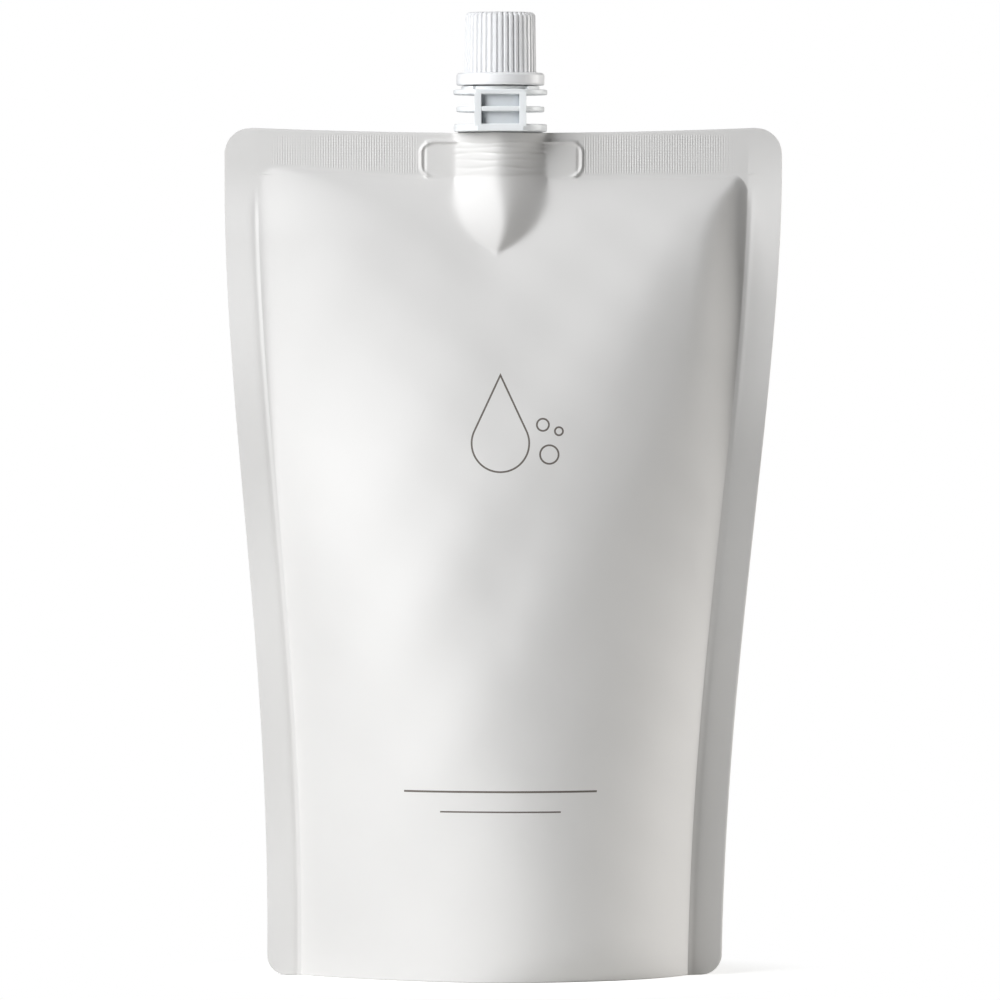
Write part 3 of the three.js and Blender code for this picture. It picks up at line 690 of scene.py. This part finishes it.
def seal_lines(tree, place, shape):
    """A fine weave, mostly upright lines, that the sealing bar pressed into the top seal beside the weld."""
    x, _, z = add_node(tree, "SeparateXYZ", {0: place}).outputs
    upright_pitch, level_pitch, level_share = 0.64 * MM, 0.7 * MM, 0.35
    waves = []
    for axis, pitch in ((x, upright_pitch), (z, level_pitch)):
        turned = add_node(tree, "Math", {0: axis, 1: FULL_TURN / pitch}, operation="MULTIPLY")
        waves.append(add_node(tree, "Math", {0: turned.outputs[0]}, operation="SINE").outputs[0])
    weave = add_node(tree, "Math", {0: waves[1], 1: level_share, 2: waves[0]}, operation="MULTIPLY_ADD")

    out = add_node(tree, "Math", {0: x}, operation="ABSOLUTE").outputs[0]
    near, far = shape.CORNER_ACROSS
    risen = add_node(tree, "MapRange", {
        "Value": x, "From Min": -far, "From Max": -near, "To Min": shape.CORNER_RISE, "To Max": 0.0,
    }, interpolation_type="SMOOTHSTEP")
    height = add_node(tree, "Math", {0: z, 1: risen.outputs[0]}, operation="SUBTRACT").outputs[0]
    # It starts above the chamber and outside the weld, and ends before the side seals and the top edge.
    limits = (
        (height, shape.chamber_top - 0.3 * MM, shape.chamber_top + 0.7 * MM, 0.0, 1.0),
        (out, 20.5 * MM, 21.2 * MM, 0.0, 1.0),
        (out, 53 * MM, 60 * MM, 1.0, 0.0),
        (z, shape.film_top - 0.9 * MM, shape.film_top - 0.2 * MM, 1.0, 0.0),
    )
    patch = add_node(tree, "TexNoise", {"Vector": place, "Scale": 1 / (9 * MM), "Detail": 1.0})
    uneven = add_node(tree, "MapRange", {
        "Value": patch.outputs["Fac"], "From Min": 0.3, "From Max": 0.7, "To Min": 0.35, "To Max": 1.0,
    })
    kept = uneven.outputs[0]
    for value, start, end, first, last in limits:
        limit = add_node(tree, "MapRange", {
            "Value": value, "From Min": start, "From Max": end, "To Min": first, "To Max": last,
        }, interpolation_type="SMOOTHSTEP")
        kept = add_node(tree, "Math", {0: kept, 1: limit.outputs[0]}, operation="MULTIPLY").outputs[0]
    return add_node(tree, "Math", {0: weave.outputs[0], 1: kept}, operation="MULTIPLY").outputs[0]


def vary(tree, surface, noise, base, darkest, gloss):
    """Lets a noise change the colour and the roughness a little. Returns the colour."""
    shade = add_node(tree, "Mix", {
        "Factor": noise,
        "A": (*[c * darkest for c in base], 1.0),
        "B": (*[min(1.0, c * 1.02) for c in base], 1.0),
    }, data_type="RGBA")
    rough = add_node(tree, "MapRange", {
        "Value": noise, "From Min": 0.3, "From Max": 0.7, "To Min": gloss[0], "To Max": gloss[1],
    })
    tree.links.new(rough.outputs[0], surface.inputs["Roughness"])
    return shade.outputs["Result"]


def film_material(settings, shape):
    # Polyester and polyethylene laminate with a pearly white layer, reverse printed: a smooth satin skin that
    # shades softly, with a broad pearly shine, and pressed lines along the top seal.
    material, tree, surface, place = new_material("pearl_laminate_film")
    cloud = add_node(tree, "TexNoise", {"Vector": place, "Scale": 1 / (38 * MM), "Detail": 2.0})
    shade = vary(tree, surface, cloud.outputs["Fac"], settings.film, 0.975, (0.56, 0.64))
    inked = add_node(tree, "Mix", {
        "Factor": print_mask(tree, place), "A": shade, "B": (*settings.ink, 1.0),
    }, data_type="RGBA")
    tree.links.new(inked.outputs["Result"], surface.inputs["Base Color"])
    surface.inputs["Metallic"].default_value = 0.11
    surface.inputs["IOR"].default_value = 1.5
    # The film's skin has a ripple of about 3 mm, too shallow to see except in its gloss.
    skin = add_node(tree, "TexNoise", {"Vector": place, "Scale": 1 / (3 * MM), "Detail": 1.0})
    ripple = add_node(tree, "Bump", {"Height": skin.outputs["Fac"], "Strength": 0.12, "Distance": 0.1 * MM})
    pressed = add_node(tree, "Bump", {
        "Height": seal_lines(tree, place, shape), "Strength": 0.8, "Distance": 0.05 * MM,
        "Normal": ripple.outputs["Normal"],
    })
    tree.links.new(pressed.outputs["Normal"], surface.inputs["Normal"])
    return material


def moulded_material(name, plastic, wall=None, painted_shade=None):
    # Injection-moulded white polyethylene: waxy, slightly see-through at thin edges, with a fine spark-eroded
    # grain that softens its gloss. The grain is drawn at 0.35 mm, coarser than it is, so that it shows.
    material, tree, surface, place = new_material(name)
    grain = add_node(tree, "TexNoise", {"Vector": place, "Scale": 1 / (0.35 * MM), "Detail": 2.0})
    flow = add_node(tree, "TexNoise", {"Vector": place, "Scale": 1 / (7 * MM), "Detail": 2.0})
    tint = vary(tree, surface, flow.outputs["Fac"], plastic, 0.97, (0.34, 0.44))
    if wall:
        # Painted shade: in a box between the guide ribs and the flanges, where the tube sits back in its
        # windows, the colour is mixed 0.4 of the way towards a grey that stands in for the shade there.
        thin = 0.4
        axes = add_node(tree, "SeparateXYZ", {0: place}).outputs
        for axis, (low, high) in zip(axes, wall):
            inside = add_node(tree, "Math", {
                0: axis, 1: (low + high) / 2, 2: (high - low) / 2,
            }, operation="COMPARE")
            thin = add_node(tree, "Math", {0: thin, 1: inside.outputs[0]}, operation="MULTIPLY").outputs[0]
        greyed = add_node(tree, "Mix", {"Factor": thin, "A": tint, "B": (*painted_shade, 1.0)}, data_type="RGBA")
        tint = greyed.outputs["Result"]
    tree.links.new(tint, surface.inputs["Base Color"])
    surface.inputs["IOR"].default_value = 1.51
    surface.inputs["Subsurface Weight"].default_value = 0.3
    surface.inputs["Subsurface Radius"].default_value = (1.0, 1.0, 1.0)
    surface.inputs["Subsurface Scale"].default_value = 1.0 * MM
    bump = add_node(tree, "Bump", {"Height": grain.outputs["Fac"], "Strength": 0.1, "Distance": 0.03 * MM})
    tree.links.new(bump.outputs["Normal"], surface.inputs["Normal"])
    return material


class REFILL_OT_pouch(bpy.types.Operator):
    """Models the film pouch, full and standing"""

    bl_idname = "refill.pouch"
    bl_label = "Film pouch"

    def execute(self, context):
        settings = context.scene.refill_pouch
        shape = FilledPouch(settings)
        rows = pouch_rows(shape)
        columns = np.array([pouch_columns(shape, z) for z in rows])
        sheets = [
            lay_grid(film_side(shape, rows, columns, -1)),
            lay_grid(film_side(shape, rows, columns, 1)),
            lay_grid(base_fold(shape, columns[0])),
        ]
        free_selection()
        for sheet in sheets:
            sheet.select_set(True)
        bpy.context.view_layer.objects.active = sheets[0]
        bpy.ops.object.join()
        piece = bpy.context.object
        edit(piece)
        merge(2e-7)
        bpy.ops.mesh.dissolve_degenerate(threshold=1e-7)
        # The mouth round the spout is turned in, taken down into the pouch and closed there.
        select_open_edges()
        lip, deep = 0.4 * MM, 11 * MM
        inward = [(size - lip) / size for size in (shape.BARREL_HALF, shape.BARREL_DEPTH)]
        bpy.ops.mesh.extrude_edges_move()
        bpy.ops.transform.resize(value=(*inward, 1), center_override=(0, 0, 0))
        bpy.ops.mesh.extrude_edges_move(TRANSFORM_OT_translate={"value": (0, 0, -deep)})
        bpy.ops.mesh.edge_face_add()
        close_outward()
        finish_piece(piece, "film_pouch", "pack", "pouch", film_material(settings, shape), 50)
        return {"FINISHED"}


def flange(radius, low, high, half_depth):
    """A round plate with flat front and back and soft edges."""
    piece = turn([(radius, low), (radius, high), (0, high)], 128)
    edit(piece)
    for way in (-1, 1):
        bpy.ops.mesh.select_all(action="SELECT")
        bpy.ops.mesh.bisect(
            plane_co=(0, way * half_depth, 0), plane_no=(0, way, 0), clear_outer=True, use_fill=True
        )
    bpy.ops.mesh.select_all(action="SELECT")
    bpy.ops.mesh.dissolve_limited(angle_limit=math.radians(1))
    close()
    bevel(piece, 0.35 * MM, 3, 50)
    return piece


def thread(neck, low, turns, lead):
    """A rounded thread round the neck, with both ends running out."""
    steps = 72 * turns
    half, height, run_out = 0.75 * MM, 0.62 * MM, math.radians(30)
    turned = np.linspace(0, FULL_TURN * turns, steps + 1)[:, None]
    out = np.clip(np.minimum(turned, turned[-1] - turned) / run_out, 0.02, 1.0)
    across = np.array([-1.0, -0.45, 0.0, 0.45, 1.0])[None]
    crest = np.array([-0.25, 0.8, 1.0, 0.8, -0.25])[None]
    radius = neck + height * crest * np.where(crest > 0, out, 1.0)
    level = low + lead * turned / FULL_TURN + across * half
    piece = lay_grid(np.stack([radius * np.cos(turned), radius * np.sin(turned), level], axis=-1))
    apply(piece, "SOLIDIFY", thickness=0.5 * MM, offset=-1.0)
    edit(piece)
    return close_outward()


def weld_foot(foot, top, section, ridge):
    """The ribbed foot that the film is welded to: a turned barrel pressed to a boat section."""
    radius, core, depth = 11 * MM, 10.6 * MM, 5.8 * MM
    profile = [(core, foot)]
    for rib in range(4):
        at = foot + rib * 2.475 * MM
        profile += [
            (radius, at + 0.05 * MM), (radius, at + 1.05 * MM),
            (core, at + 1.15 * MM), (core, at + 2.42 * MM),
        ]
    piece = turn([*profile, (core, top), (0, top)], 96)
    for vertex in piece.data.vertices:
        out = max(math.hypot(vertex.co.x, vertex.co.y), 1e-9)
        vertex.co.y = math.copysign(depth / radius * out * section(vertex.co.x / out, ridge), vertex.co.y)
    return piece


class REFILL_OT_spout(bpy.types.Operator):
    """Models the pouring spout: weld foot, flanges, guide ribs, neck and thread"""

    bl_idname = "refill.spout"
    bl_label = "Pouring spout"

    def execute(self, context):
        settings = context.scene.refill_spout
        neck, bore, half_depth = settings.neck_radius, settings.bore_radius, settings.flange_half_depth
        foot, mouth = SPOUT_LOW.z, SPOUT_HIGH.z
        shoulder = foot + 11 * MM
        low = (shoulder, shoulder + 1.85 * MM)
        middle = (low[1] + 3.1 * MM, low[1] + 4.4 * MM)
        top = (middle[1] + 3 * MM, middle[1] + 4.25 * MM)
        collar, collar_radius = top[1] + 0.85 * MM, 9.8 * MM
        stop, stop_radius, stop_chamfer = (collar + 1.6 * MM, collar + 2.6 * MM), 7.9 * MM, 0.6 * MM
        tube = turn([
            (neck, foot), (neck, top[1]), (collar_radius, top[1]), (collar_radius, collar), (neck, collar),
            (neck, stop[0]), (stop_radius, stop[0]), (stop_radius, stop[1] - stop_chamfer),
            (stop_radius - stop_chamfer, stop[1]), (neck, stop[1]), (neck, mouth), (0, mouth),
        ], 128)
        bevel(tube, 0.14 * MM, 2, 40)
        flanges = ((11.7 * MM, low), (11.05 * MM, middle), (11.8 * MM, top))
        solids = [flange(radius, *level, half_depth) for radius, level in flanges]
        waist_x, waist_y = 6.2 * MM, 8.6 * MM
        waist = turn([(1 * MM, low[0]), (1 * MM, top[1]), (0, top[1])], 128)
        for vertex in waist.data.vertices:
            across, along = abs(vertex.co.x / waist_x), abs(vertex.co.y / waist_y)
            grown = 1 / max(across ** 4 + along ** 4, 1e-12) ** 0.25
            vertex.co.xy *= grown if across + along > 1e-6 else 1
        solids.append(waist)
        ribs_low, ribs_high = low[1] - 0.6 * MM, top[0] + 0.5 * MM
        rib_size = (settings.guide_rib, 2 * half_depth - 0.1 * MM, ribs_high - ribs_low)
        for side in (-1, 1):
            across = side * (neck + 0.5 * MM - settings.guide_rib / 2)
            solids.append(block(rib_size, (across, 0, (ribs_low + ribs_high) / 2)))
        stop_size = (4.4 * MM, 1.8 * MM, 1.3 * MM)
        for quarter in range(4):
            place = (8.5 * MM, 0, collar - stop_size[2] / 2)
            solids.append(block(stop_size, place, math.radians(45 + 90 * quarter)))
        solids.append(thread(neck, stop[1] + 2.3 * MM, 2, settings.thread_lead))
        pouch = FilledPouch(context.scene.refill_pouch)
        solids.append(weld_foot(foot, shoulder + 0.8 * MM, pouch.boat, pouch.FOOT_RIDGE))
        wings = (37 * MM, 0.8 * MM, 7.4 * MM)
        solids.append(block(wings, (0, 0, foot + 3.75 * MM)))
        combine(tube, solids, "UNION")
        passage = turn([(bore, foot - 1 * MM), (bore, mouth + 1 * MM), (0, mouth + 1 * MM)], 96)
        combine(tube, [passage], "DIFFERENCE")
        edit(tube)
        merge(5e-7)
        close()
        # The box where the windows' shade is painted: between the guide ribs, front to back, and from the low
        # flange up to the top one.
        wall = ((-4.8 * MM, 4.8 * MM), (-9.3 * MM, 9.3 * MM), (low[1] + 0.1 * MM, top[0] - 0.1 * MM))
        plastic = moulded_material("moulded_polyethylene_spout", settings.plastic, wall, settings.window_shade)
        finish_piece(tube, "pouring_spout", "pack", "spout", plastic, 28)
        return {"FINISHED"}


class REFILL_OT_ring(bpy.types.Operator):
    """Models the tamper ring below the cap"""

    bl_idname = "refill.tamper_ring"
    bl_label = "Tamper ring"

    def execute(self, context):
        outer, low, high = RING_HIGH.x, RING_LOW.z, RING_HIGH.z
        lip, bore, chamfer = 6.3 * MM, 8.2 * MM, 0.55 * MM
        lip_top = low + 1 * MM
        ring = turn([
            (lip, low), (outer - 0.15 * MM, low), (outer, low + 0.4 * MM), (outer, high - chamfer),
            (outer - chamfer, high), (bore, high), (bore, lip_top), (lip, lip_top), (lip, low),
        ], 160)
        bevel(ring, 0.16 * MM, 3, 15)
        plastic = moulded_material("moulded_polyethylene_ring", context.scene.refill_cap.plastic)
        finish_piece(ring, "tamper_ring_band", "ring", "tamper_ring", plastic, 40)
        return {"FINISHED"}


class REFILL_OT_cap(bpy.types.Operator):
    """Models the screw cap with its grip ribs and sealing plug"""

    bl_idname = "refill.cap"
    bl_label = "Screw cap"

    def execute(self, context):
        settings = context.scene.refill_cap
        low, high = CAP_LOW.z - 0.24 * MM, CAP_HIGH.z
        wide, taper, bend = CAP_HIGH.x, 0.2 * MM, settings.edge_radius
        slim = wide - taper
        groove_end = high - 0.2 * MM
        grip = [(wide, low), (wide, low + 0.25 * MM)]
        grip += [(wide - taper * t, mix(low, groove_end, t)) for t in (0.35, 0.7, 0.96)]
        bends = [math.pi / 2 * step / 8 for step in range(9)]
        arc = [(slim - bend * (1 - math.cos(a)), high - bend * (1 - math.sin(a))) for a in bends]
        arc = [corner for corner in arc if corner[1] > grip[-1][1] + 0.02 * MM]
        ceiling, bore = high - 1.6 * MM, 7.1 * MM
        plug, plug_bore, plug_low = 4.3 * MM, 2.8 * MM, high - 6.6 * MM
        profile = [
            (plug_bore, ceiling), (plug_bore, plug_low), (plug - 0.3 * MM, plug_low),
            (plug, plug_low + 0.6 * MM), (plug, ceiling), (bore, ceiling), (bore, low + 0.5 * MM),
            (bore + 0.3 * MM, low), *grip, *arc, (2 * MM, high),
        ]
        columns = 14
        cap = turn([*reversed(profile), (0, ceiling)], settings.grip_count * columns)
        self.cut_grooves(cap, settings, (low, groove_end), wide, slim - 0.75 * MM)
        plastic = moulded_material("moulded_polyethylene_cap", settings.plastic)
        finish_piece(cap, "screw_cap", "cap", "cap", plastic, 38)
        return {"FINISHED"}

    def cut_grooves(self, cap, settings, heights, wide, wall):
        """Draws the outside in between the ribs, in one go for all vertices that move by the same share."""
        edit(cap)
        shares = {}
        for vertex in bmesh.from_edit_mesh(cap.data).verts:
            radius = math.hypot(vertex.co.x, vertex.co.y)
            if radius < wall or vertex.co.z > heights[1] or vertex.co.z < heights[0] - 1e-6:
                continue
            phase = (math.atan2(vertex.co.y, vertex.co.x) / FULL_TURN * settings.grip_count) % 1.0
            share = 1 - float(ease(0.2, 0.5, np.array(abs(phase - 0.5) * 2)))
            if share > 0.001:
                shares.setdefault(round(share, 3), []).append(vertex.index)
        for share, picked in shares.items():
            bpy.ops.mesh.select_all(action="DESELECT")
            mesh = bmesh.from_edit_mesh(cap.data)
            mesh.verts.ensure_lookup_table()
            for index in picked:
                mesh.verts[index].select = True
            mesh.select_flush_mode()
            bmesh.update_edit_mesh(cap.data)
            inward = 1 - share * settings.grip_depth / wide
            bpy.ops.transform.resize(value=(inward, inward, 1), center_override=(0, 0, 0))
        close()


def soft_lamp(name, power, light, size, azimuth, elevation, away, aim):
    """A soft box that looks at the pack. Azimuth 0 is the camera's side and 90 the right."""
    free_selection()
    a, e = math.radians(azimuth), math.radians(elevation)
    out = np.array([math.sin(a) * math.cos(e), -math.cos(a) * math.cos(e), math.sin(e)]) * away
    bpy.ops.object.light_add(type="AREA", location=(out[0], out[1], out[2] + aim))
    lamp = bpy.context.object
    lamp.name = name
    lamp.data.shape = "RECTANGLE"
    lamp.data.size, lamp.data.size_y = size
    lamp.data.energy = power
    lamp.data.color = light
    lamp.rotation_euler = (math.pi / 2 - e, 0, a)
    lamp.visible_camera = False


def white_behind(tree, plain, white):
    """What the camera sees is white, and what lights the pack stays plain."""
    seen = add_node(tree, "LightPath").outputs["Is Camera Ray"]
    return add_node(tree, "MixShader", {"Fac": seen, 1: plain, 2: white}).outputs[0]


def paper_material(paper_colour):
    # Matt studio paper: it keeps the pack's shadow, and is lifted to white where the camera sees it.
    near, far, lift_near = 0.05, 0.09, 0.55
    white = (1, 1, 1, 1)
    material = bpy.data.materials.new("white_studio_paper")
    material.use_nodes = True
    tree = material.node_tree
    tree.nodes.clear()
    paper = add_node(tree, "BsdfDiffuse", {"Color": (*paper_colour, 1.0)})
    place = add_node(tree, "TexCoord").outputs["Object"]
    away = add_node(tree, "VectorMath", {0: place}, operation="LENGTH")
    beyond = add_node(tree, "MapRange", {
        "Value": away.outputs["Value"], "From Min": near, "From Max": far,
    }, interpolation_type="SMOOTHSTEP")
    lift = add_node(tree, "Emission", {"Color": white, "Strength": lift_near})
    lifted = add_node(tree, "AddShader", {0: paper.outputs[0], 1: lift.outputs[0]})
    blank = add_node(tree, "Emission", {"Color": white, "Strength": 1.0})
    sheet = add_node(tree, "MixShader", {
        "Fac": beyond.outputs[0], 1: lifted.outputs[0], 2: blank.outputs[0],
    })
    seen = white_behind(tree, paper.outputs[0], sheet.outputs[0])
    add_node(tree, "OutputMaterial", {"Surface": seen})
    return material


class REFILL_OT_stage(bpy.types.Operator):
    """Sets the floor, the lamps, the white surroundings and the camera"""

    bl_idname = "refill.stage"
    bl_label = "Stage"

    def execute(self, context):
        settings = context.scene.refill_stage
        floor_radius, floor_thickness = 0.5, 0.02
        free_selection()
        bpy.ops.mesh.primitive_circle_add(vertices=96, radius=floor_radius, fill_type="NGON")
        floor = bpy.context.object
        floor.name = "studio_floor"
        edit(floor)
        bpy.ops.mesh.extrude_region_move(TRANSFORM_OT_translate={"value": (0, 0, -floor_thickness)})
        close_outward()
        floor.data.materials.append(paper_material(settings.paper))

        world = bpy.data.worlds.new("white_surroundings")
        world.use_nodes = True
        context.scene.world = world
        tree = world.node_tree
        tree.nodes.clear()
        fill_colour = (*settings.warm_light, 1.0)
        plain = add_node(tree, "Background", {"Color": fill_colour, "Strength": settings.fill})
        white = add_node(tree, "Background", {"Color": (1, 1, 1, 1), "Strength": 1.0})
        seen = white_behind(tree, plain.outputs[0], white.outputs[0])
        add_node(tree, "OutputWorld", {"Surface": seen})

        soft_lamp(
            "key_lamp", settings.key_power, settings.cool_light,
            size=(0.8, 0.9), azimuth=-48, elevation=30, away=1.3, aim=0.12,
        )
        soft_lamp(
            "side_lamp", settings.side_power, settings.cool_light,
            size=(0.2, 0.2), azimuth=-46, elevation=6, away=0.4, aim=0.06,
        )
        soft_lamp(
            "rim_lamp", settings.rim_power, settings.warm_light,
            size=(0.5, 0.7), azimuth=104, elevation=14, away=1.1, aim=0.12,
        )

        free_selection()
        aside = -0.1 * MM
        bpy.ops.object.camera_add(location=(aside, -settings.distance, settings.camera_height))
        camera = bpy.context.object
        camera.name = "photo_camera"
        camera.data.sensor_width = 36
        camera.data.lens = camera.data.sensor_width * settings.distance / settings.picture_width
        down = math.atan2(settings.camera_height - settings.aim_height, settings.distance)
        camera.rotation_euler = (math.pi / 2 - down, 0, 0)
        camera.data.clip_end = 60
        context.scene.camera = camera
        context.scene.view_settings.view_transform = "Standard"
        return {"FINISHED"}


class REFILL_PT_panel(bpy.types.Panel):
    """Lists the pack's pieces and their settings"""

    bl_idname = "REFILL_PT_panel"
    bl_label = "Refill pouch"
    bl_space_type = "VIEW_3D"
    bl_region_type = "UI"
    bl_category = "Refill pouch"

    def draw(self, context):
        for operator, settings in PIECES:
            self.layout.operator(operator.bl_idname)
            for key in getattr(context.scene, settings).bl_rna.properties.keys():
                if key not in ("rna_type", "name"):
                    self.layout.prop(getattr(context.scene, settings), key)


PIECES = (
    (REFILL_OT_pouch, "refill_pouch"),
    (REFILL_OT_spout, "refill_spout"),
    (REFILL_OT_ring, "refill_cap"),
    (REFILL_OT_cap, "refill_cap"),
    (REFILL_OT_stage, "refill_stage"),
)
SETTINGS = {
    "refill_pouch": PouchSettings,
    "refill_spout": SpoutSettings,
    "refill_cap": CapSettings,
    "refill_stage": StageSettings,
}


def register():
    for kind in (*SETTINGS.values(), *(operator for operator, _ in PIECES), REFILL_PT_panel):
        bpy.utils.register_class(kind)
    for name, kind in SETTINGS.items():
        setattr(bpy.types.Scene, name, PointerProperty(type=kind))


def unregister():
    for name in SETTINGS:
        delattr(bpy.types.Scene, name)
    for kind in (REFILL_PT_panel, *(operator for operator, _ in PIECES), *SETTINGS.values()):
        bpy.utils.unregister_class(kind)


def main():
    register()
    bpy.ops.refill.pouch()
    bpy.ops.refill.spout()
    bpy.ops.refill.tamper_ring()
    bpy.ops.refill.cap()
    bpy.ops.refill.stage()


if __name__ == "__main__":
    main()
